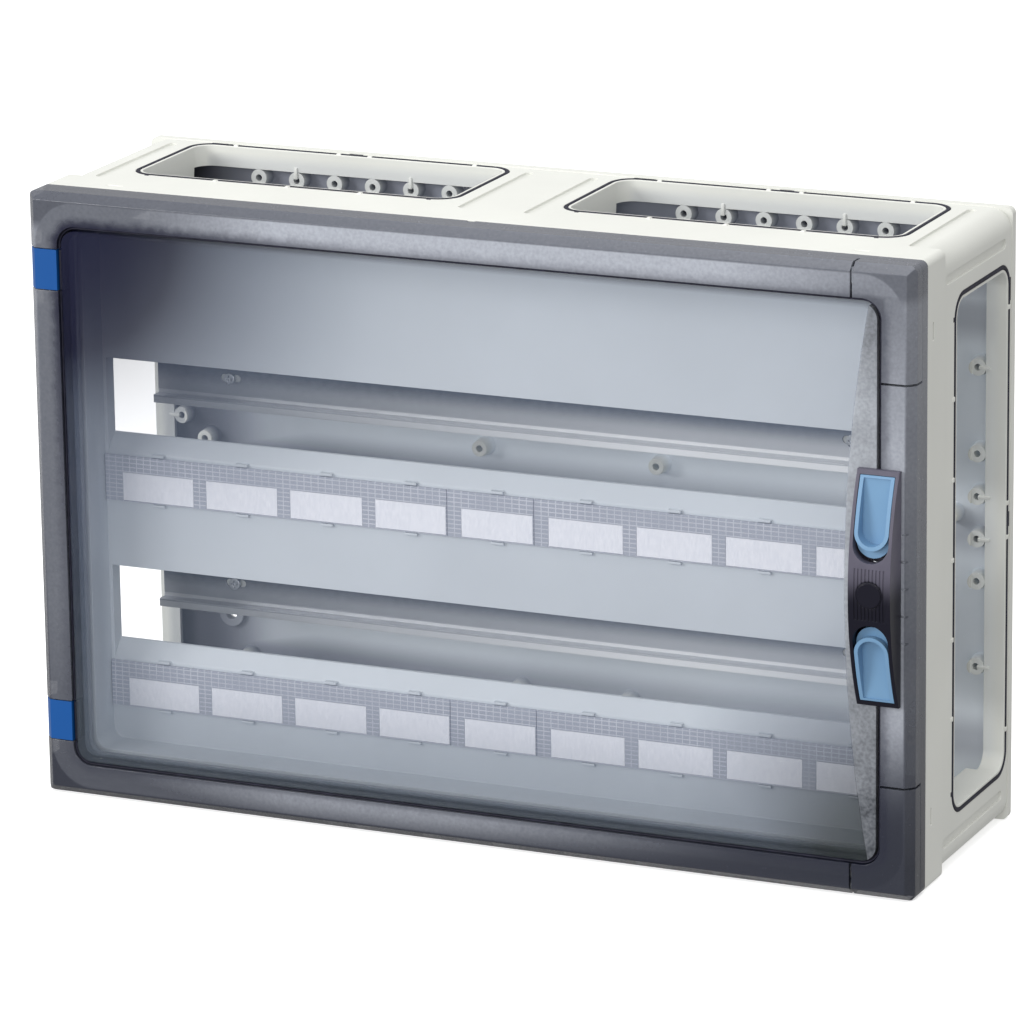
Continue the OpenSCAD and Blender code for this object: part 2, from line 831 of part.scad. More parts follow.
module cover_frame() upright() color([0.47, 0.49, 0.53, 0.6]) difference() {
    union() {
        difference() {
            cover_shell();
            both_y() raise(ledge_top, box_d + cut) cap_zone(cap_gap);
        }
        intersection() {
            at_hinges() hinge_fill();
            cover_outer();
        }
        at_cover_screws() raise(joint_z, ledge_top) circle(d = column_d);
        both_y() {
            cap_floor();
            keeper();
            hook();
        }
    }
    at_hinges() {
        hinge_pocket();
        hinge_rod(hinge_pin_d + 2 * hole_play, hinge_block_h + 2 * (pocket_gap + pin_in_ear));
    }
    at_cover_screws() raise(joint_z - cut, ledge_top + cut) circle(d = cover_screw_d + 2 * hole_play);
    at_device_screws() raise(joint_z - cut, rim_top + device_head_h + slide_gap)
        circle(d = tab_d + 2 * slide_gap);
    frame_vents();
    both_y() translate([0, half_h, joint_z]) rotate([90, 0, 0])
        cylinder(d = joint_notch_d, h = 2 * frame_skin, center = true);
}

module cover_screws() upright() at_cover_screws()
    pan_screw(ledge_top, ledge_top - joint_z + cover_screw_grip, cover_screw_d,
        cover_screw_head_d, cover_screw_head_h);

module upper_corner_cap() upright() color([0.45, 0.47, 0.51, 0.6]) corner_cap();

module lower_corner_cap() upright() color([0.45, 0.47, 0.51, 0.6]) mirror([0, 1, 0]) corner_cap();

module hinge_pin() color([0.70, 0.71, 0.73])
    hinge_rod(hinge_pin_d, hinge_block_h + 2 * (pocket_gap + pin_in_ear));

module upper_hinge_pin() upright() translate([0, hinge_y, 0]) hinge_pin();

module lower_hinge_pin() upright() translate([0, -hinge_y, 0]) hinge_pin();

module door_seal_ring(t)
    ring(recess_w - 2 * door_seal_in, recess_h - 2 * door_seal_in, recess_r - door_seal_in, t);

// A flat bed on the ledge and a lip that fills the gap round the door, open where the hinge arms pass
module door_seal() upright() color([0.07, 0.07, 0.12]) {
    raise(ledge_top, ledge_top + door_seal_t) door_seal_ring(door_seal_w);
    difference() {
        raise(ledge_top, box_d - seal_lip_low) door_seal_ring(seal_lip_t);
        at_hinges() translate([-recess_w / 2, 0, 0]) raise(ledge_top + door_seal_t, box_d)
            square([2 * door_gap, hinge_block_h + 2 * pocket_gap], center = true);
    }
}

// Door

module crescent() intersection() {
    rounded_rect(door_w, door_h, door_r);
    translate([door_w / 2 - crescent_depth + crescent_r, 0]) circle(crescent_r, $fn = 360);
}

module hinge_arm() {
    l = hinge_block_h - 2 * pocket_gap;
    hinge_rod(2 * knuckle_r, l);
    translate([hinge_x, -l / 2, arm_z0]) cube([-door_w / 2 + skirt_t - hinge_x, l, arm_t]);
}

module door() upright() color([0.60, 0.63, 0.68, 0.35]) difference() {
    union() {
        raise(door_back, box_d - window_step) rounded_rect(door_w, door_h, door_r);
        raise(door_back, box_d) crescent();
        raise(skirt_bottom, door_back) ring(door_w, door_h, door_r, skirt_t);
        at_hinges() hinge_arm();
    }
    at_hinges() hinge_rod(hinge_pin_d + 2 * pin_play, hinge_block_h + 2 * cut);
    both_y() stem_slot(door_back - cut, box_d + cut);
    both_y() translate([handle_screw_x, handle_screw_y, 0])
        raise(door_back - cut, box_d + cut) circle(d = handle_screw_d + 2 * hole_play);
}

module hinge_block_section() intersection() {
    union() {
        translate([-block_left, hinge_z]) square([block_left - block_right, hinge_back]);
        translate([hinge_x, hinge_z]) circle(block_back_r);
    }
    translate([-block_left, hinge_z - block_back_r])
        square([block_left - block_right, block_back_r + hinge_back]);
    bevel_profile(half_w);
}

module hinge_block() color([0.20, 0.45, 0.75]) {
    l = hinge_block_h - pocket_gap;
    difference() {
        along_y(l) hinge_block_section();
        hinge_rod(2 * (knuckle_r + slide_gap), l + 2 * cut);
        translate([hinge_x, -l / 2 - cut, arm_z0 - slide_gap])
            cube([hinge_inset * 2, l + 2 * cut, arm_t + 2 * slide_gap]);
    }
}

module upper_hinge_block() upright() translate([0, hinge_y, 0]) hinge_block();

module lower_hinge_block() upright() translate([0, -hinge_y, 0]) hinge_block();

// Handle with two latches

module bow(sink) translate([handle_x - handle_w, 0, bow_z]) rotate([0, 90, 0])
    cylinder(r = bow_r - sink, h = 2 * handle_w, $fn = 360);

module latch_outline(w, end) translate([handle_x, 0]) {
    translate([-w / 2, end + w / 2]) square([w, chord - end]);
    translate([0, end + w / 2]) circle(d = w);
}

module below_latch_top(top) intersection() {
    children();
    translate([handle_x - handle_w, -handle_h, 0]) cube([2 * handle_w, handle_h + top, 2 * box_d]);
}

module stem_slot(z0, z1) {
    gap = slide_gap;
    translate([stem_x - gap, stem_y - stem_l / 2 - latch_travel - gap, z0])
        cube([stem_w + 2 * gap, stem_l + latch_travel + 2 * gap, z1 - z0]);
}

module spring_bore(y0, y1) translate([handle_x, y1, spring_z]) rotate([90, 0, 0])
    cylinder(d = spring_bore_d, h = y1 - y0);

module housing_ribs() intersection() {
    difference() {
        bow(-cut);
        bow(rib_depth);
    }
    for (i = [0 : rib_count - 1])
        translate([handle_x + (i - (rib_count - 1) / 2) * rib_pitch, 0, bow_z + bow_r])
            cube([rib_groove, 2 * rib_reach, handle_bow], center = true);
}

// The open pocket shows a little of the latch's step, which slides on under the housing's roof
module latch_pocket(end) raise(pocket_base, 2 * box_d) intersection() {
    latch_outline(pocket_w, end);
    translate([handle_x - handle_w, 0]) square([2 * handle_w, latch_top + slide_gap]);
}

module handle_housing() upright() color([0.10, 0.10, 0.16]) difference() {
    union() {
        intersection() {
            bow(0);
            translate([handle_x - handle_w / 2, -chord, handle_base])
                cube([handle_w, handle_h, handle_end + handle_bow]);
        }
        translate([handle_x - handle_w / 2, -chord, box_d])
            cube([door_w / 2 - handle_x + handle_w / 2, handle_h, 2 * handle_lift]);
    }
    both_y() {
        latch_pocket(latch_end - pocket_show);
        intersection() {
            latch_pocket(latch_end - latch_travel - slide_gap);
            bow(latch_step - slide_gap);
        }
        stem_slot(box_d - cut, pocket_base + cut);
        spring_bore(spring_seat, latch_end);
        translate([handle_screw_x, handle_screw_y, 0])
            raise(box_d - cut, box_d + handle_screw_l) circle(d = handle_screw_d + 2 * hole_play);
    }
    translate([handle_x, 0, 0]) raise(bow_z + bow_r - plug_depth, 2 * box_d)
        circle(d = plug_d + 2 * hole_play);
    housing_ribs();
}

module handle_screws() upright() color([0.75, 0.76, 0.78]) both_y()
    translate([handle_screw_x, handle_screw_y, 0]) mirror([0, 0, 1])
        pan_screw(-door_back, door_t + handle_screw_l - handle_screw_tip, handle_screw_d,
            handle_head_d, handle_head_h);

module handle_plug() upright() color([0.07, 0.07, 0.12]) translate([handle_x, 0, 0]) {
    top = bow_z + bow_r + plug_proud;
    raise(bow_z + bow_r - plug_depth, top - plug_proud) circle(d = plug_d);
    raise(top - plug_proud, top) circle(d = plug_d - 2 * plug_proud);
}

module scoop() {
    deep_y = latch_end + latch_lip_set + lip_t;
    floor_deep = bow_z + sqrt(bow_r * bow_r - deep_y * deep_y) - scoop_deep;
    floor_shallow = bow_z + sqrt(bow_r * bow_r - latch_top * latch_top) - scoop_shallow;
    intersection() {
        raise(pocket_base, 2 * box_d) latch_outline(latch_w - 2 * lip_t, deep_y);
        translate([handle_x, 0, 0]) along_x(latch_w) polygon([
            [deep_y - cut, floor_deep], [latch_top - lip_top_t, floor_shallow],
            [latch_top - lip_top_t, 2 * box_d], [deep_y - cut, 2 * box_d]]);
    }
}

module latch() color([0.45, 0.64, 0.83]) difference() {
    union() {
        below_latch_top(latch_top) {
            intersection() {
                raise(pocket_base + slide_gap, 2 * box_d) latch_outline(latch_w, latch_end + latch_lip_set);
                bow(latch_sink);
            }
        }
        below_latch_top(latch_top) {
            intersection() {
                raise(pocket_base + slide_gap, 2 * box_d) latch_outline(latch_w, latch_end);
                bow(latch_step);
            }
        }
        translate([stem_x, stem_y - stem_l / 2, keeper_top + nose_gap])
            cube([stem_w, stem_l, pocket_base + cut - keeper_top]);
        translate([stem_x, stem_y, keeper_top + nose_gap]) cube([stem_w, stem_l / 2 + nose_l, nose_t]);
    }
    scoop();
    spring_bore(latch_end - cut, latch_end + spring_in_latch);
}

module upper_latch() upright() latch();

module lower_latch() upright() mirror([0, 1, 0]) latch();

// Helical spring as one swept tube: rings of wire_sides points along the helix
wire_sides = 8;
turn_steps = 14;
spring_y0 = spring_seat + spring_wire;
spring_y1 = latch_end + spring_in_latch - spring_wire;
spring_rings = spring_turns * turn_steps;

function helix(i) = let (a = 360 * i / turn_steps)
    [spring_r * cos(a), spring_y0 + (spring_y1 - spring_y0) * i / spring_rings, spring_r * sin(a)];

function wire_point(i, k) = let (a = 360 * i / turn_steps, b = 360 * k / wire_sides)
    helix(i) + spring_wire * [cos(a) * cos(b), sin(b), sin(a) * cos(b)];

module latch_spring() color([0.72, 0.73, 0.75]) translate([handle_x, 0, spring_z]) polyhedron(
    points = [for (i = [0 : spring_rings], k = [0 : wire_sides - 1]) wire_point(i, k)],
    faces = concat(
        [[for (k = [0 : wire_sides - 1]) k]],
        [for (i = [0 : spring_rings - 1], k = [0 : wire_sides - 1])
            let (n = (k + 1) % wire_sides, a = i * wire_sides, b = a + wire_sides)
            [a + k, b + k, b + n, a + n]],
        [[for (k = [wire_sides - 1 : -1 : 0]) spring_rings * wire_sides + k]]));

module upper_latch_spring() upright() latch_spring();

module lower_latch_spring() upright() mirror([0, 1, 0]) latch_spring();

base_box();
top_left_seal();
top_right_seal();
bottom_left_seal();
bottom_right_seal();
left_seal();
right_seal();
upper_left_post();
upper_right_post();
lower_left_post();
lower_right_post();
post_screws();
upper_rail();
lower_rail();
rail_screws();
touch_cover();
touch_cover_screws();
upper_label_strip();
lower_label_strip();
upper_label_cards();
lower_label_cards();
cover_seal();
cover_frame();
cover_screws();
upper_corner_cap();
lower_corner_cap();
upper_hinge_pin();
lower_hinge_pin();
door_seal();
door();
upper_hinge_block();
lower_hinge_block();
handle_housing();
handle_screws();
handle_plug();
upper_latch();
lower_latch();
upper_latch_spring();
lower_latch_spring();
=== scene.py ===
import json
import math
import bmesh
import bpy
from mathutils import Matrix, Vector
from mathutils.kdtree import KDTree


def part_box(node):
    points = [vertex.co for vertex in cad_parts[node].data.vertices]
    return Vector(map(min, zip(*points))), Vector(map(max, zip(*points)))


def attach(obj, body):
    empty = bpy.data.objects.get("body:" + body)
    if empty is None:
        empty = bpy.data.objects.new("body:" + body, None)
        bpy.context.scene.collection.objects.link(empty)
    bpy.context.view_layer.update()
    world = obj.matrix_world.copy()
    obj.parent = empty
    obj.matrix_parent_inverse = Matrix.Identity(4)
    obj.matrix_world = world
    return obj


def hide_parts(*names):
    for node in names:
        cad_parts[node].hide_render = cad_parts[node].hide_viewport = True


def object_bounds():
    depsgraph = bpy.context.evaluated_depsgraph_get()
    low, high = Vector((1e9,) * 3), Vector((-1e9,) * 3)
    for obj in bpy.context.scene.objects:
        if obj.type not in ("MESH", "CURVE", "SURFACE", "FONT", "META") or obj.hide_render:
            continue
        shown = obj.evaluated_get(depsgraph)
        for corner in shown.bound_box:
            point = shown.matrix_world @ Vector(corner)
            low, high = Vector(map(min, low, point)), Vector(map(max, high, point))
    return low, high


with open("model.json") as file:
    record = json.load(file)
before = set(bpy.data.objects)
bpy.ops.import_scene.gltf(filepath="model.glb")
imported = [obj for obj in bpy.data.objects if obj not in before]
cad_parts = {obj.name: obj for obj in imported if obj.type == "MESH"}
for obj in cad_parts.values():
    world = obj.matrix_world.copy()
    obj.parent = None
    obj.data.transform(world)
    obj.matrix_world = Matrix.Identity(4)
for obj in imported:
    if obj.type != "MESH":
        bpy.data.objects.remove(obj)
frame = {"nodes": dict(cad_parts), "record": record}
cad_low, cad_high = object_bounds()
nodes = frame["nodes"]
record = frame["record"]
slot_of = {part["node"]: part["material_slot"] for part in record["subparts"]}
body_of = {node: body for body, held in record["behaviour"]["bodies"].items() for node in held}
bpy.ops.object.select_all(action="DESELECT")

MM = 0.001


# Places that the materials and the pieces take from the frame

def middle_of(node):
    low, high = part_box(node)
    return (low + high) / 2


HALF_W = cad_high.x
HALF_H = cad_high.z

# Half the door recess in the front plane, and the radius of its corners
RECESS_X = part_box("door_seal")[1].x
RECESS_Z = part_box("door_seal")[1].z
RECESS_R = 11.2 * MM

# Height of the upper rail's middle line, and how far the lower one is below it
RAIL_MIDDLE = middle_of("upper_rail").z
RAIL_PITCH = RAIL_MIDDLE - middle_of("lower_rail").z

# The round plug in the handle
PLUG = middle_of("handle_plug")
PLUG_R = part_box("handle_plug")[1].x - PLUG.x


# Materials

def srgb(r, g, b):
    """A picture colour of 0 to 255 as the linear colour that a shader takes."""
    def channel(v):
        v /= 255
        return v / 12.92 if v <= 0.04045 else ((v + 0.055) / 1.055) ** 2.4
    return (channel(r), channel(g), channel(b), 1.0)


def shaded(colour, share):
    """A colour made darker or lighter."""
    return tuple(min(1.0, c * share) for c in colour[:3]) + (1.0,)


class Finish:
    """One material, with short ways to add and join its nodes."""

    def __init__(self, name):
        self.material = bpy.data.materials.new(name)
        self.material.use_nodes = True
        self.tree = self.material.node_tree
        self.shader = self.tree.nodes["Principled BSDF"]
        self.place = self.tree.nodes.new("ShaderNodeTexCoord").outputs["Object"]

    def join(self, value, socket):
        """Links an output to a socket, or sets the socket to a plain value."""
        if isinstance(value, bpy.types.NodeSocket):
            self.tree.links.new(value, socket)
        else:
            socket.default_value = value

    def set(self, **values):
        """Sets the shader's own sockets, with _ for the spaces in their names."""
        for name, value in values.items():
            self.join(value, self.shader.inputs[name.replace("_", " ")])
        return self

    def node(self, kind, inputs=(), **settings):
        made = self.tree.nodes.new("ShaderNode" + kind)
        for name, value in settings.items():
            setattr(made, name, value)
        for key, value in dict(inputs).items():
            self.join(value, made.inputs[key])
        return made

    def mapped(self, scale=(1, 1, 1), turn=(0, 0, 0)):
        made = self.node("Mapping", {"Vector": self.place, "Scale": scale, "Rotation": turn})
        return made.outputs["Vector"]

    def noise(self, scale, detail=3.0, stretch=(1, 1, 1)):
        made = self.node("TexNoise", {"Vector": self.mapped(stretch), "Scale": scale, "Detail": detail})
        return made.outputs["Fac"]

    def ramp(self, value, low, high, out_low=0.0, out_high=1.0, soft=False):
        """A value carried from one range to another, and held at its ends."""
        made = self.node("MapRange", {"Value": value, "From Min": low, "From Max": high,
                                      "To Min": out_low, "To Max": out_high})
        if soft:
            made.interpolation_type = "SMOOTHSTEP"
        return made.outputs["Result"]

    def varied(self, scale, detail, low=0.0, high=1.0, ends=(0.3, 0.7)):
        """A noise between two values; ends are the levels of it that reach them."""
        return self.ramp(self.noise(scale, detail), *ends, low, high)

    def clouded(self, colour, mottle=0.04):
        """A moulding's colour with faint flow marks."""
        return self.blend(self.varied(9, 4), shaded(colour, 1 - mottle), shaded(colour, 1 + mottle))

    def uneven(self, rough, play=0.05):
        """A roughness that wanders a little."""
        return self.varied(30, 2, rough - play, rough + play)

    def blend(self, share, first, second):
        """From the first colour at 0 to the second at 1."""
        made = self.node("Mix", data_type="RGBA")
        self.join(share, made.inputs["Factor"])
        self.join(first, made.inputs[6])
        self.join(second, made.inputs[7])
        return made.outputs[2]

    def maths(self, operation, first, second=0.0):
        made = self.node("Math", {0: first, 1: second}, operation=operation)
        return made.outputs["Value"]

    def times(self, first, *others):
        for other in others:
            first = self.maths("MULTIPLY", first, other)
        return first

    def most(self, first, *others):
        for other in others:
            first = self.maths("MAXIMUM", first, other)
        return first

    def least(self, first, *others):
        for other in others:
            first = self.maths("MINIMUM", first, other)
        return first

    def minus(self, first, second):
        return self.maths("SUBTRACT", first, second)

    def beyond(self, value, limit):
        """How far a place lies beyond a limit on either side of 0."""
        return self.minus(self.maths("ABSOLUTE", value), limit)

    def vectors(self, operation, first, second=(0, 0, 0), output="Vector"):
        made = self.node("VectorMath", {0: first, 1: second}, operation=operation)
        return made.outputs[output]

    def length(self, x, z):
        """Length of a step in the front plane."""
        step = self.node("CombineXYZ", {0: x, 2: z}).outputs[0]
        return self.vectors("LENGTH", step, output="Value")

    def axes(self):
        return self.node("SeparateXYZ", {0: self.place}).outputs

    def away_from(self, x, z):
        """Distance in the front plane from a point of it."""
        flat = self.vectors("MULTIPLY", self.place, (1, 0, 1))
        return self.vectors("DISTANCE", flat, (x, 0, z), "Value")

    def bumps(self, scale, depth):
        """A fine grain in the surface, as deep as given in metres."""
        made = self.node("Bump", {"Height": self.noise(scale, 2), "Distance": depth, "Strength": 1.0})
        self.tree.links.new(made.outputs["Normal"], self.shader.inputs["Normal"])
        return self


def moulded(name, colour, rough, shine=0.5):
    """Moulded plastic: a fine spark-eroded grain, faint flow mottling and uneven gloss."""
    f = Finish(name)
    f.set(Base_Color=f.clouded(colour), Roughness=f.uneven(rough), IOR=1.5, Specular_IOR_Level=shine)
    return f.bumps(700, 0.04 * MM).material


def from_recess(f):
    """Distance in the front plane from the rounded edge of the door recess, less than 0 inside it."""
    x, _, z = f.axes()
    over_x = f.beyond(x, RECESS_X - RECESS_R)
    over_z = f.beyond(z, RECESS_Z - RECESS_R)
    outside = f.length(f.most(over_x, 0.0), f.most(over_z, 0.0))
    inside = f.least(f.most(over_x, over_z), 0.0)
    return f.minus(f.maths("ADD", outside, inside), RECESS_R)


# The cover frame across, from the edge of the recess: ledge, flat strip and outer bevel
LEDGE_START = -4 * MM
LEDGE_END = -1 * MM
STRIP_EDGE = 3 * MM
BEVEL_START = 14.5 * MM
BEVEL_EDGE = 1 * MM

# Painted light and shade on the frame: 0 is the bare smoke and 1 the pale of the rim behind it. Pairs are
# the near and the far end.
TOP_LIGHT = 0.6
RIGHT_LIGHT = 0.52
BOTTOM_LIGHT = (0.42, 0.1)
LEFT_LIGHT = (0.08, 0.17)
LEDGE_LIGHT = 0.3
BEVEL_LIGHT = (0.015, 0.3)
TOP_BEVEL_SHARE = (0.34, 0.55)
CORNER_SHARE = 0.06

# How far the painted shade of the corners reaches at the left, and how many times less at the right
CORNER_REACH = (0.015, 0.19)
RIGHT_CORNERS = 2.3

# The upper right corner has the most painted light: its share, and where that gives way to the others'
LIGHT_CORNER_SHARE = 0.48
LIGHT_CORNER_REACH = (0.05, 0.12)

# The painted shade in the lower right corner, along a line that rises to the right
LOW_RIGHT_RISE = 0.35
LOW_RIGHT_REACH = (0.155, 0.23)

# The painted navy shade along the seam of the door
SEAM_BAND = (0.5 * MM, 8 * MM)
SEAM_FUZZ = 1.6 * MM
SEAM_REACH = (0.03, 0.2)
SEAM_FAR_SHARE = 0.3
SEAM_RIGHT_SHARE = 0.55


def painted_strip_light(f, distance, top, right):
    """The painted light and shade on the flat strips of the frame."""
    x, _, z = f.axes()
    bottom = f.ramp(z, -RECESS_Z + STRIP_EDGE, -RECESS_Z - STRIP_EDGE)
    fading = f.ramp(distance, STRIP_EDGE, BEVEL_START, *BOTTOM_LIGHT)
    light = f.most(f.times(top, TOP_LIGHT), f.times(right, RIGHT_LIGHT), f.times(bottom, fading))
    to_corner = f.length(f.beyond(x, RECESS_X), f.beyond(z, RECESS_Z))
    to_corner = f.times(to_corner, f.ramp(x, -RECESS_X, RECESS_X, 1.0, RIGHT_CORNERS))
    upper_right = f.away_from(RECESS_X, RECESS_Z)
    corner_share = f.ramp(upper_right, *LIGHT_CORNER_REACH, LIGHT_CORNER_SHARE, CORNER_SHARE)
    light = f.times(light, f.ramp(to_corner, *CORNER_REACH, corner_share, 1.0))
    light = f.most(light, f.ramp(z, -RECESS_Z, -RECESS_Z * 0.4, *LEFT_LIGHT))
    low_right = f.minus(f.times(x, LOW_RIGHT_RISE), z)
    return f.times(light, f.ramp(low_right, *LOW_RIGHT_REACH, 1.0, CORNER_SHARE, soft=True))


def painted_bevel_light(f, top):
    """The painted light on the outer bevel of the frame."""
    x, _, z = f.axes()
    along_top = f.ramp(x, -RECESS_X, 0.0, *TOP_BEVEL_SHARE)
    return f.times(f.ramp(z, -RECESS_Z, RECESS_Z, *BEVEL_LIGHT), f.ramp(top, 0, 1, 1.0, along_top))


def painted_seam_shade(f, distance, right):
    """How dark the fuzzy painted shade along the seam of the door is: most at the upper left."""
    fuzz = f.varied(160, 3, -SEAM_FUZZ, SEAM_FUZZ, ends=(0.2, 0.8))
    band = f.ramp(f.maths("ADD", distance, fuzz), *SEAM_BAND, 1, 0, soft=True)
    upper_left = f.ramp(f.away_from(-RECESS_X, RECESS_Z), *SEAM_REACH, 1.0, SEAM_FAR_SHARE)
    outside = f.ramp(distance, -STRIP_EDGE, LEDGE_END)
    return f.times(band, outside, f.most(upper_left, f.times(right, SEAM_RIGHT_SHARE)))


def smoked_frame():
    """Smoky plastic, with painted light on its strips and bevel and painted shade in its corners and along
    its seam.
    """
    f = Finish("smoked_frame")
    x, _, z = f.axes()
    distance = from_recess(f)
    top = f.ramp(z, RECESS_Z - STRIP_EDGE, RECESS_Z + STRIP_EDGE)
    right = f.ramp(x, RECESS_X - STRIP_EDGE, RECESS_X + STRIP_EDGE)
    light = f.ramp(distance, LEDGE_START, LEDGE_END, LEDGE_LIGHT, painted_strip_light(f, distance, top, right))
    on_bevel = f.ramp(distance, BEVEL_START - BEVEL_EDGE, BEVEL_START)
    light = f.ramp(on_bevel, 0.0, 1.0, light, painted_bevel_light(f, top))
    light = f.times(light, f.varied(520, 3, 0.88, 1.12, ends=(0.25, 0.75)))
    smoke = f.blend(light, srgb(36, 40, 55), srgb(222, 227, 238))
    tint = f.blend(painted_seam_shade(f, distance, right), smoke, srgb(22, 25, 52))
    gloss = f.varied(620, 3, 0.2, 0.28, ends=(0.25, 0.75))
    f.set(Base_Color=tint, Roughness=gloss, Alpha=0.82, IOR=1.58)
    return f.bumps(420, 0.03 * MM).material


# How far the shades in two corners of the recess reach, and how fast the upper left one falls
SHADE_REACH = 0.23
SHADE_FALL = 1.9
LOW_SHADE_REACH = 0.14


def upper_left_shade(f):
    """1 at the upper left corner of the recess, falling to 0 across its upper left quarter."""
    near = f.ramp(f.away_from(-RECESS_X, RECESS_Z), 0.0, SHADE_REACH, 1, 0)
    return f.maths("POWER", near, SHADE_FALL)


def low_right_shade(f, most):
    """Highest at the lower right corner of the recess."""
    return f.ramp(f.away_from(RECESS_X, -RECESS_Z), 0.0, LOW_SHADE_REACH, most, 0)


def shaded_cover():
    """The touch cover's bluish grey plastic, in soft shade at its upper left and lower right corners."""
    f = Finish("touch_cover_plastic")
    tint = f.clouded(srgb(198, 204, 211))
    share = f.most(f.times(upper_left_shade(f), 0.85), low_right_shade(f, 0.55))
    f.set(Base_Color=f.blend(share, tint, srgb(58, 62, 80)), Roughness=f.uneven(0.42), IOR=1.5)
    return f.bumps(500, 0.02 * MM).material


# Where the frosted crescent of the door begins: a large circle centred far to the right
CRESCENT_X = 1.1237
CRESCENT_R = 0.8942
CRESCENT_EDGE = 0.5 * MM

# Heights between which painted light turns the crescent from dark to light, and where painted shade darkens
# it again
FROST_RISE = (-0.13, -0.01)
FROST_FALL = (0.1, RECESS_Z)

# The door's tinted rim, and the painted shades at its left side and its foot
DOOR_RIM = (-5 * MM, -2 * MM)
SIDE_SHADE = (-RECESS_X + 18 * MM, -RECESS_X + 30 * MM)
FOOT_SHADE = (-RECESS_Z, -RECESS_Z + 80 * MM)


def frost(f):
    """The colour of the door's frosted crescent, mottled, with painted shade towards its ends."""
    z = f.axes()[2]
    light = f.minus(f.ramp(z, *FROST_RISE, 0.16, 0.54), f.ramp(z, *FROST_FALL, 0.0, 0.34))
    mottle = f.maths("ADD", f.varied(70, 4, -0.06, 0.06), f.varied(520, 2, -0.08, 0.08))
    return f.blend(f.maths("ADD", light, mottle), srgb(44, 48, 56), srgb(206, 211, 219))


def clear_door():
    """Clear plastic: frosted in the crescent, with a painted navy shade that gathers in the upper left
    corner.
    """
    f = Finish("clear_door")
    x, _, z = f.axes()
    frosted = f.ramp(f.away_from(CRESCENT_X, 0), CRESCENT_R - CRESCENT_EDGE, CRESCENT_R, 1, 0)
    corner = f.times(upper_left_shade(f), 0.62)
    side = f.ramp(x, *SIDE_SHADE, 0.16, 0, soft=True)
    foot = f.ramp(z, *FOOT_SHADE, 0.2, 0, soft=True)
    rim = f.ramp(from_recess(f), *DOOR_RIM, 0.0, 0.3)
    # Painted shade in the corners, at the left side and at the foot, with the tinted rim
    shade_and_rim = f.most(corner, side, foot, low_right_shade(f, 0.4), rim)
    shade = f.blend(f.ramp(z, -RECESS_Z * 0.8, 0.0), srgb(56, 64, 66), srgb(20, 24, 60))
    tint = f.blend(f.ramp(shade_and_rim, 0.02, 0.3), srgb(146, 160, 182), shade)
    cover = f.most(f.ramp(shade_and_rim, 0, 1, 0.09, 0.97), f.times(frosted, 0.9))
    gloss = f.ramp(frosted, 0, 1, 0.05, 0.38)
    f.set(Base_Color=f.blend(frosted, tint, frost(f)), Roughness=gloss, Alpha=cover, IOR=1.5)
    return f.bumps(500, 0.01 * MM).material


# Depths of the back wall: its outer face is at 0, and its inner face is well inside these
WALL_RIM = (4 * MM, 9 * MM)
WALL_OUTER = (-2.2 * MM, -1.2 * MM)
WALL_INNER = (-14 * MM, -5 * MM)

# Painted shade on the back wall's inner face: below the top, at the left and darkest at its far left end,
# and behind each panel below a slot
TOP_SHADE = (30 * MM, 70 * MM)
LEFT_SHADE = (20 * MM, 110 * MM)
FAR_END = (25 * MM, 75 * MM)
PANEL_SHADE = (3 * MM, 20 * MM)
PANEL_DEEPEST = -10 * MM
PANEL_ALONG = (-0.2, 0.1)


def shaded_base():
    """The base's pale plastic, with painted bluish light on the back wall's inner face and painted shade
    where the parts hide it.
    """
    f = Finish("base_plastic")
    x, y, z = f.axes()
    below_top = f.minus(cad_high.z, z)
    from_left = f.minus(x, cad_low.x)
    from_edge = f.least(below_top, f.minus(z, cad_low.z), from_left, f.minus(cad_high.x, x))
    inner = f.times(f.ramp(from_edge, *WALL_RIM), f.ramp(y, *WALL_OUTER, 1, 0), f.ramp(y, *WALL_INNER))
    # Painted bluish light on the back wall's inner face
    tint = f.blend(f.times(inner, 0.95), f.clouded(srgb(218, 219, 213)), srgb(238, 245, 252))
    upper = f.ramp(below_top, *TOP_SHADE, 0.8, 0, soft=True)
    left = f.ramp(from_left, *LEFT_SHADE, 1, 0, soft=True)
    row = f.maths("MODULO", f.maths("ADD", z, 2 * RAIL_PITCH - PANEL_DEEPEST), RAIL_PITCH)
    from_deepest = f.least(row, f.minus(RAIL_PITCH, row))
    deepest = f.ramp(x, *PANEL_ALONG, 0.8, 0.45)
    behind_panel = f.ramp(from_deepest, *PANEL_SHADE, deepest, 0, soft=True)
    share = f.times(f.most(upper, left, behind_panel), inner)
    tint = f.blend(share, tint, srgb(96, 98, 116))
    far_end = f.times(f.ramp(from_left, *FAR_END, 0.85, 0, soft=True), inner)
    f.set(Base_Color=f.blend(far_end, tint, srgb(30, 32, 42)), Roughness=f.uneven(0.5), IOR=1.5)
    return f.bumps(700, 0.04 * MM).material


# Heights between which the painted sheen of the handle grows
SHEEN_RISE = (-6 * MM, 14 * MM)


def dark_handle():
    """Navy-black plastic, with a painted grey sheen over the ribs above the plug."""
    f = Finish("handle_dark")
    z = f.axes()[2]
    off_plug = f.ramp(f.away_from(PLUG.x, PLUG.z), PLUG_R, PLUG_R + 1 * MM)
    painted_sheen = f.times(f.ramp(z, *SHEEN_RISE, 0, 0.8, soft=True), off_plug, f.varied(60, 3, 0.8, 1.0))
    tint = f.blend(painted_sheen, srgb(6, 5, 24), srgb(104, 101, 116))
    f.set(Base_Color=tint, Roughness=0.34, Specular_IOR_Level=0.3)
    return f.bumps(700, 0.04 * MM).material


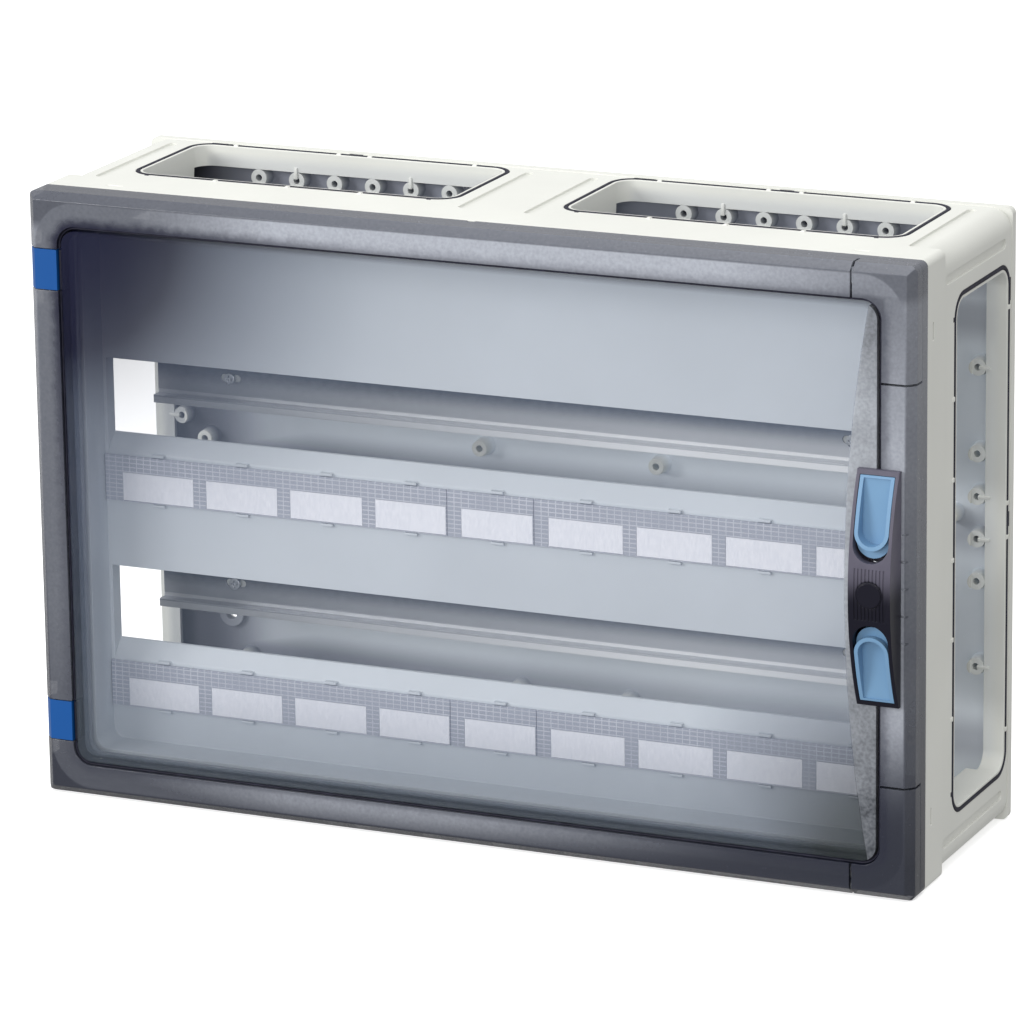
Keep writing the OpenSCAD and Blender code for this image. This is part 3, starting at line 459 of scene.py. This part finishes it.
def plated_steel():
    """Zinc plated steel of the screws, pins and springs, with fine rolling marks and a faint spangle."""
    f = Finish("plated_steel")
    colour = srgb(196, 199, 204)
    rolled = f.noise(240, 4, (0.02, 1, 1))
    tint = f.blend(f.ramp(rolled, 0.35, 0.65), shaded(colour, 0.86), shaded(colour, 1.06))
    tint = f.blend(f.varied(420, 3, 0, 0.3, ends=(0.45, 0.7)), tint, shaded(colour, 1.2))
    f.set(Base_Color=tint, Metallic=1.0, Roughness=f.ramp(rolled, 0.3, 0.7, 0.24, 0.38))
    return f.material


# Heights from a rail's middle line: the web, with painted light that grows downwards, and the painted
# highlight along the lower flange with a darker line along it
RAIL_WEB = (6 * MM, -7 * MM)
RAIL_FLANGE = (-9.5 * MM, -10.5 * MM)
RAIL_LINE = -13 * MM
RAIL_LINE_EDGE = (0.3 * MM, 0.8 * MM)
# Along the rail: painted shade at the left end, more painted light towards the right
RAIL_ALONG = (-0.24, 0.08)


def rail_zinc():
    """Bright zinc, with painted shade dark and bluish at the top and at the left end, painted light growing
    down the web and a painted highlight along the lower flange.
    """
    f = Finish("zinc_rail")
    x, _, z = f.axes()
    row = f.maths("MODULO", f.maths("ADD", z, 2.5 * RAIL_PITCH - RAIL_MIDDLE), RAIL_PITCH)
    height = f.minus(row, RAIL_PITCH / 2)
    from_line = f.maths("ABSOLUTE", f.minus(height, RAIL_LINE))
    flange = f.times(f.ramp(height, *RAIL_FLANGE), f.ramp(from_line, *RAIL_LINE_EDGE, 0.35, 1.0))
    web = f.ramp(height, *RAIL_WEB, 0.03, 0.62, soft=True)
    painted_light = f.times(f.most(flange, web), f.ramp(x, *RAIL_ALONG, 0.45, 1.0))
    spangle = f.varied(260, 3)
    painted_shade_zinc = f.blend(f.ramp(x, *RAIL_ALONG), srgb(48, 57, 74), srgb(98, 109, 127))
    painted_shade_zinc = f.blend(f.ramp(spangle, 0, 1, 0, 0.1), painted_shade_zinc, srgb(190, 196, 206))
    f.set(Base_Color=f.blend(painted_light, painted_shade_zinc, srgb(252, 253, 255)), Metallic=f.ramp(painted_light, 0, 1, 0.9, 0.1),
          Roughness=f.ramp(spangle, 0, 1, 0.28, 0.31))
    return f.material


def seal_rubber():
    """Dusty black rubber."""
    f = Finish("seal_rubber")
    tint = f.blend(f.varied(160, 4, ends=(0.4, 0.8)), srgb(20, 20, 36), srgb(40, 40, 58))
    f.set(Base_Color=tint, Roughness=0.6, Specular_IOR_Level=0.3)
    return f.bumps(1500, 0.04 * MM).material


def plain_card():
    """White card with a faint fibre."""
    f = Finish("plain_card")
    fibre = f.ramp(f.noise(900, 4, (1, 1, 0.3)), 0.3, 0.7)
    f.set(Base_Color=f.blend(fibre, srgb(226, 228, 237), srgb(238, 239, 246)), Roughness=0.75)
    return f.bumps(900, 0.02 * MM).material


# The mesh of dashes on the label strips
DASH_W = 4.5 * MM
DASH_H = 2.6 * MM
DASH_LINE = 0.3 * MM


def label_strip():
    """Lavender-grey strip with a fine printed mesh of short dashes."""
    f = Finish("label_strip")
    laid = f.mapped(turn=(math.radians(-90), 0, 0))
    dashes = f.node("TexBrick", {"Vector": laid, "Scale": 1.0, "Mortar Size": DASH_LINE,
                                 "Brick Width": DASH_W, "Row Height": DASH_H}, offset=0.0)
    printed = f.times(dashes.outputs["Fac"], f.varied(45, 3, 0.35, 1.0))
    f.set(Base_Color=f.blend(printed, srgb(164, 168, 180), srgb(204, 206, 216)), Roughness=0.4)
    return f.bumps(600, 0.02 * MM).material


finishes = {
    "base_plastic": shaded_base(),
    "post_plastic": moulded("post_plastic", srgb(200, 202, 200), 0.5),
    "touch_cover_plastic": shaded_cover(),
    "seal_rubber": seal_rubber(),
    "plated_steel": plated_steel(),
    "zinc_rail": rail_zinc(),
    "strip_plastic": label_strip(),
    "card_white": plain_card(),
    "smoke_clear": smoked_frame(),
    "door_clear": clear_door(),
    "hinge_blue": moulded("hinge_blue", srgb(14, 78, 146), 0.4, shine=0.3),
    "latch_blue": moulded("latch_blue", srgb(112, 150, 184), 0.35, shine=0.4),
    "handle_dark": dark_handle(),
}

for node, slot in slot_of.items():
    nodes[node].data.materials.clear()
    nodes[node].data.materials.append(finishes[slot])


# Pieces

def alone(piece):
    """Makes a piece the only selected one, and the active one."""
    bpy.ops.object.select_all(action="DESELECT")
    bpy.context.view_layer.objects.active = piece
    piece.select_set(True)


def joined(pieces):
    """Several pieces made one."""
    alone(pieces[0])
    for piece in pieces:
        piece.select_set(True)
    bpy.ops.object.join()
    return pieces[0]


def dress(piece, name, body, slot, *replaced):
    """Names a finished piece, gives it its material, attaches it to the body it rides on and hides the CAD
    nodes it stands for.
    """
    piece.name = name
    piece.data.name = name
    piece.data.materials.clear()
    piece.data.materials.append(finishes[slot])
    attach(piece, body)
    if replaced:
        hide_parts(*replaced)


# Rounded edges

# Edges sharper than this are rounded, and after that only sharper ones than the next look sharp
SHARP = math.radians(35)
STILL_SHARP = math.radians(50)

# Faces fold back on each other where the product of their normals is below this
FOLD = -0.5

# An edge is left sharp where a fold comes within this many radii of it
ROOM = 2.5

# Corners nearer than this are one, and faces thinner than the next are dropped
WELD = 0.02 * MM
THIN = 0.001 * MM

# Radius in millimetres of the rounded edges of each moulded or bent piece
edge_radius = {
    "base_box": 0.4, "touch_cover": 0.4, "cover_frame": 0.3, "upper_corner_cap": 0.3,
    "lower_corner_cap": 0.3, "door": 0.25, "upper_hinge_block": 0.17, "lower_hinge_block": 0.17,
    "handle_housing": 0.17, "handle_plug": 0.2, "upper_latch": 0.12, "lower_latch": 0.12,
    "upper_label_strip": 0.25, "lower_label_strip": 0.25, "upper_label_cards": 0.1,
    "lower_label_cards": 0.1, "upper_rail": 0.4, "lower_rail": 0.4, "upper_left_post": 0.4,
    "upper_right_post": 0.4, "lower_left_post": 0.4, "lower_right_post": 0.4, "rail_screws": 0.2,
    "post_screws": 0.2, "touch_cover_screws": 0.2, "top_left_seal": 0.6, "top_right_seal": 0.6,
    "bottom_left_seal": 0.6, "bottom_right_seal": 0.6, "left_seal": 0.6, "right_seal": 0.6,
    "door_seal": 0.4,
}


def sharp_runs(mesh):
    """The sharp edges of a mesh, in runs that go from corner to corner."""
    sharp = [edge for edge in mesh.edges if edge.is_manifold and edge.calc_face_angle() > SHARP]
    meeting = {}
    for edge in sharp:
        for corner in edge.verts:
            meeting.setdefault(corner, []).append(edge)
    runs = []
    placed = set()
    for first in sharp:
        if first in placed:
            continue
        run = [first]
        placed.add(first)
        for edge in run:
            for corner in edge.verts:
                if len(meeting[corner]) == 2:
                    further = [other for other in meeting[corner] if other not in placed]
                    placed.update(further)
                    run.extend(further)
        runs.append(run)
    return runs


def folded_places(piece):
    """Where faces lie back on a neighbour once the piece's modifiers have acted."""
    mesh = bmesh.new()
    mesh.from_object(piece, bpy.context.evaluated_depsgraph_get())
    places = []
    for edge in mesh.edges:
        if edge.is_manifold:
            first, second = edge.link_faces
            if first.normal.dot(second.normal) < FOLD:
                places.extend(corner.co.copy() for face in (first, second) for corner in face.verts)
    mesh.free()
    return places


def weigh_edges(piece, reach):
    """Marks for the bevel the runs of sharp edges that have room for it, and no others."""
    mesh = bmesh.new()
    mesh.from_mesh(piece.data)
    weight = mesh.edges.layers.float.new("bevel_weight_edge")
    near = KDTree(len(mesh.verts))
    for corner in mesh.verts:
        near.insert(corner.co, corner.index)
    near.balance()
    runs = sharp_runs(mesh)
    settled = False
    while not settled:
        for edge in mesh.edges:
            edge[weight] = 0
        for run in runs:
            for edge in run:
                edge[weight] = 1
        mesh.to_mesh(piece.data)
        tight = {found[1] for place in folded_places(piece) for found in near.find_range(place, reach)}
        roomy = [run for run in runs if not any(v.index in tight for edge in run for v in edge.verts)]
        settled = len(roomy) == len(runs)
        runs = roomy
    mesh.free()


def soften(node, radius):
    """A copy of a CAD node with its sharp edges rounded, as a moulding has them."""
    piece = bpy.data.objects.new(node + "_soft", nodes[node].data.copy())
    bpy.context.scene.collection.objects.link(piece)
    alone(piece)
    bpy.ops.mesh.customdata_custom_splitnormals_clear()
    bpy.ops.object.mode_set(mode="EDIT")
    bpy.ops.mesh.select_all(action="SELECT")
    bpy.ops.mesh.remove_doubles(threshold=WELD)
    bpy.ops.mesh.dissolve_degenerate(threshold=THIN)
    bpy.ops.object.mode_set(mode="OBJECT")
    rounding = piece.modifiers.new("rounding", "BEVEL")
    rounding.width = radius
    rounding.segments = 2
    rounding.limit_method = "WEIGHT"
    rounding.use_clamp_overlap = False
    rounding.loop_slide = False
    weigh_edges(piece, ROOM * radius)
    bpy.ops.object.modifier_apply(modifier=rounding.name)
    low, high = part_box(node)
    for corner in piece.data.vertices:
        corner.co = [min(max(at, low[axis]), high[axis]) for axis, at in enumerate(corner.co)]
    bpy.ops.object.shade_smooth_by_angle(angle=STILL_SHARP)
    flattening = piece.modifiers.new("flattening", "WEIGHTED_NORMAL")
    flattening.keep_sharp = True
    bpy.ops.object.modifier_apply(modifier=flattening.name)
    dress(piece, node + "_soft", body_of[node], slot_of[node], node)


for node, radius in edge_radius.items():
    soften(node, radius * MM)


# Small moulded blocks and their copies

def small_block(size, taper, rounding):
    """A little moulded block at the origin, narrower at its top, with rounded edges."""
    bpy.ops.object.select_all(action="DESELECT")
    bpy.ops.mesh.primitive_cube_add(size=1)
    block = bpy.context.object
    bpy.ops.transform.resize(value=size)
    bpy.ops.object.transform_apply(location=False, rotation=False, scale=True)
    bpy.ops.object.mode_set(mode="EDIT")
    bpy.ops.mesh.select_all(action="DESELECT")
    bpy.ops.object.mode_set(mode="OBJECT")
    for face in block.data.polygons:
        face.select = face.normal.z > 0.5
    bpy.ops.object.mode_set(mode="EDIT")
    bpy.ops.transform.resize(value=(taper, taper, 1))
    bpy.ops.mesh.select_all(action="SELECT")
    bpy.ops.mesh.bevel(offset=rounding, segments=3, affect="EDGES")
    bpy.ops.object.mode_set(mode="OBJECT")
    bpy.ops.object.shade_smooth_by_angle(angle=SHARP)
    return block


def spread(block, places):
    """One piece of copies of a block, one at each place."""
    copies = []
    for place in places:
        copy = bpy.data.objects.new("copy", block.data.copy())
        bpy.context.scene.collection.objects.link(copy)
        copy.data.transform(place)
        copies.append(copy)
    return joined(copies)


def drop(*blocks):
    """Removes blocks that have been copied."""
    for block in blocks:
        alone(block)
        bpy.ops.object.delete()


# Snap bridges across the seals of the wall openings, and the tabs that hold the seals, in dark rubber that
# also stands for the shade in small pockets and slots

# Each wall is the top wall turned about the depth axis: its turn in degrees, and half the box across it
walls = {"top": (0, HALF_H), "bottom": (180, HALF_H), "right": (90, HALF_W), "left": (-90, HALF_W)}
openings = ("top_left", "top_right", "bottom_left", "bottom_right", "right", "left")

# Width of a seal's rubber, and how far a seal reaches past the opening at each end
SEAL_W = 2.6 * MM
SEAL_OUT = 4.25 * MM

BRIDGE = (3.2 * MM, 4.2 * MM, 1.0 * MM)
DOT = (3.0 * MM, 2.6 * MM, 0.9 * MM)
TAB = (9.0 * MM, 2.4 * MM, 0.9 * MM)
LONG_TAB = (14.0 * MM, 1.8 * MM, 0.9 * MM)
BLOCK_ROUND = 0.25 * MM
TAB_LOW = 0.35 * MM

# Bridges: the step between those in front, and where those behind are from the ends and the middle
BRIDGE_STEP = 46 * MM
BRIDGE_FROM_END = 22 * MM
BRIDGE_FROM_MIDDLE = 10 * MM

# Dots and tabs: how far they are from the ends, and how far from the seal in widths of it
DOT_FROM_START = 9 * MM
DOT_FROM_END = 10 * MM
LONG_TAB_FROM_START = 12 * MM
DOT_OFF = 0.8
TAB_OFF = 0.5
LONG_TAB_OFF = 0.4


def on_wall(turn, half, along, depth, out):
    """The place of a block on a wall, from its place along the top wall."""
    return Matrix.Rotation(math.radians(turn), 4, "Y") @ Matrix.Translation((along, depth, half + out))


def ends_of(name, turn):
    """Both ends of an opening, along its wall turned to the top."""
    to_top = Matrix.Rotation(math.radians(-turn), 4, "Y")
    first, last = sorted((to_top @ corner).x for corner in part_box(name + "_seal"))
    return first + SEAL_OUT, last - SEAL_OUT


bridge = small_block(BRIDGE, 0.7, BLOCK_ROUND)
dot = small_block(DOT, 0.85, BLOCK_ROUND)
tab = small_block(TAB, 0.95, BLOCK_ROUND)
long_tab = small_block(LONG_TAB, 0.95, BLOCK_ROUND)

middles = {wall: [] for wall in walls}
for name in openings:
    wall = name.split("_")[0]
    turn, half = walls[wall]
    start, end = ends_of(name, turn)
    middle = (start + end) / 2
    middles[wall].append(middle)
    seal_low, seal_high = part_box(name + "_seal")
    rear = seal_high.y - SEAL_W / 2
    front = seal_low.y + SEAL_W / 2

    flush = -BRIDGE[2] / 2
    behind = (start + BRIDGE_FROM_END, middle - BRIDGE_FROM_MIDDLE, middle + BRIDGE_FROM_MIDDLE,
              end - BRIDGE_FROM_END)
    count = int((end - start) / BRIDGE_STEP) - 1
    ahead = [middle + (i - (count - 1) / 2) * BRIDGE_STEP for i in range(count)]
    places = [on_wall(turn, half, along, rear, flush) for along in behind]
    places += [on_wall(turn, half, along, front - SEAL_W, flush) for along in ahead]
    dress(spread(bridge, places), name + "_bridges", "enclosure", "base_plastic")

    sunk = -TAB_LOW - DOT[2] / 2
    dots = [on_wall(turn, half, along, front - DOT_OFF * SEAL_W, sunk)
            for along in (start + DOT_FROM_START, end - DOT_FROM_END)]
    tabs = [on_wall(turn, half, middle, rear + TAB_OFF * SEAL_W, sunk)]
    long_tabs = [on_wall(turn, half, start + LONG_TAB_FROM_START, rear + LONG_TAB_OFF * SEAL_W, sunk)]
    held = joined([spread(dot, dots), spread(tab, tabs), spread(long_tab, long_tabs)])
    dress(held, name + "_seal_tabs_and_pocket_shade", "enclosure", "seal_rubber")

drop(bridge, dot, tab, long_tab)


# Stays between some of the back wall's bosses and the collar of the opening beside them

STAY = (2.2 * MM, 3.4 * MM, 7.0 * MM)
STAY_ROUND = 0.4 * MM
STAY_DEPTH = -11.6 * MM
STAY_OUT = -13.5 * MM

# Where the stays are from the middle of an opening, in the top and bottom walls and in the side walls
LEVEL_WALL_STAYS = (-37 * MM, 37 * MM)
SIDE_WALL_STAYS = (-88 * MM, -12.5 * MM, 12.5 * MM, 88 * MM)

stay = small_block(STAY, 0.8, STAY_ROUND)
for wall, (turn, half) in walls.items():
    steps = LEVEL_WALL_STAYS if wall in ("top", "bottom") else SIDE_WALL_STAYS
    places = [on_wall(turn, half, middle + step, STAY_DEPTH, STAY_OUT)
              for middle in middles[wall] for step in steps]
    dress(spread(stay, places), wall + "_boss_stays", "enclosure", "base_plastic")
drop(stay)


# Dark strips that carry the door's seam line past the hinge arms, standing for the shade in the gap there

STRIP = (1.5 * MM, 4.0 * MM, 23.4 * MM)
STRIP_ROUND = 0.4 * MM
STRIP_IN = 0.6 * MM
STRIP_DEPTH = 22.0 * MM

strip = small_block(STRIP, 1.0, STRIP_ROUND)
for name in ("upper", "lower"):
    height = middle_of(name + "_hinge_block").z
    place = Matrix.Translation((-RECESS_X + STRIP_IN, cad_low.y + STRIP_DEPTH, height))
    dress(spread(strip, [place]), name + "_hinge_seam_shade_strip", "door", "seal_rubber")
drop(strip)


# Floor, light and camera

FLOOR_SIZE = 30
bpy.ops.mesh.primitive_plane_add(size=FLOOR_SIZE, location=(0, 0, cad_low.z))
floor = bpy.context.object
floor.name = "studio_floor"
pale = Finish("pale_floor")
pale.set(Base_Color=(0.86, 0.86, 0.86, 1), Roughness=0.8, Emission_Color=(1, 1, 1, 1), Emission_Strength=0.5)
floor.data.materials.append(pale.material)
floor.visible_diffuse = False
floor.visible_glossy = False


def soft_light(name, place, target, size, power):
    """A rectangular softbox that faces its target."""
    bpy.ops.object.light_add(type="AREA", location=place)
    lamp = bpy.context.object
    lamp.name = name
    lamp.data.shape = "RECTANGLE"
    lamp.data.size, lamp.data.size_y = size
    lamp.data.energy = power
    lamp.rotation_mode = "QUATERNION"
    lamp.rotation_quaternion = (Vector(target) - Vector(place)).to_track_quat("-Z", "Y")


soft_light("overhead_softbox", (0.1, 0.1, 2.2), (0, -0.05, 0), (2.4, 1.8), 27)
soft_light("side_softbox", (-2.1, -2.5, 1.2), (0, -0.1, 0), (1.3, 1.3), 57)
soft_light("front_softbox", (0.4, -3.2, 0.8), (0, -0.1, 0), (1.6, 1.0), 30)

# Brightness of the air straight below and straight above
AIR_LOW = 0.42
AIR_HIGH = 0.74
world = bpy.data.worlds.new("studio_air")
bpy.context.scene.world = world
world.use_nodes = True
air = world.node_tree
up = air.nodes.new("ShaderNodeSeparateXYZ")
glow = air.nodes.new("ShaderNodeMapRange")
glow.inputs["From Min"].default_value = -1
glow.inputs["To Min"].default_value = AIR_LOW
glow.inputs["To Max"].default_value = AIR_HIGH
air.links.new(air.nodes.new("ShaderNodeTexCoord").outputs["Generated"], up.inputs["Vector"])
air.links.new(up.outputs["Z"], glow.inputs["Value"])
air.links.new(glow.outputs["Result"], air.nodes["Background"].inputs["Strength"])
air.nodes["Background"].inputs["Color"].default_value = (1, 1, 1, 1)

# The camera that fits the photo best, and its lens and sensor in millimetres
CAMERA_PLACE = (1.3912, -3.1884, 0.9481)
CAMERA_YAW = math.radians(24.153)
CAMERA_PITCH = math.radians(15.672)
CAMERA_ROLL = math.radians(0.78)
CAMERA_LENS = 214.9
CAMERA_SENSOR = 36
FARTHEST_SEEN = 60
bpy.ops.object.camera_add(location=CAMERA_PLACE)
camera = bpy.context.object
aim = Matrix.Rotation(CAMERA_YAW, 4, "Z") @ Matrix.Rotation(math.pi / 2 - CAMERA_PITCH, 4, "X")
camera.rotation_euler = (aim @ Matrix.Rotation(-CAMERA_ROLL, 4, "Z")).to_euler()
camera.data.sensor_width = CAMERA_SENSOR
camera.data.lens = CAMERA_LENS
camera.data.clip_end = FARTHEST_SEEN
bpy.context.scene.camera = camera
bpy.context.scene.view_settings.view_transform = "Standard"
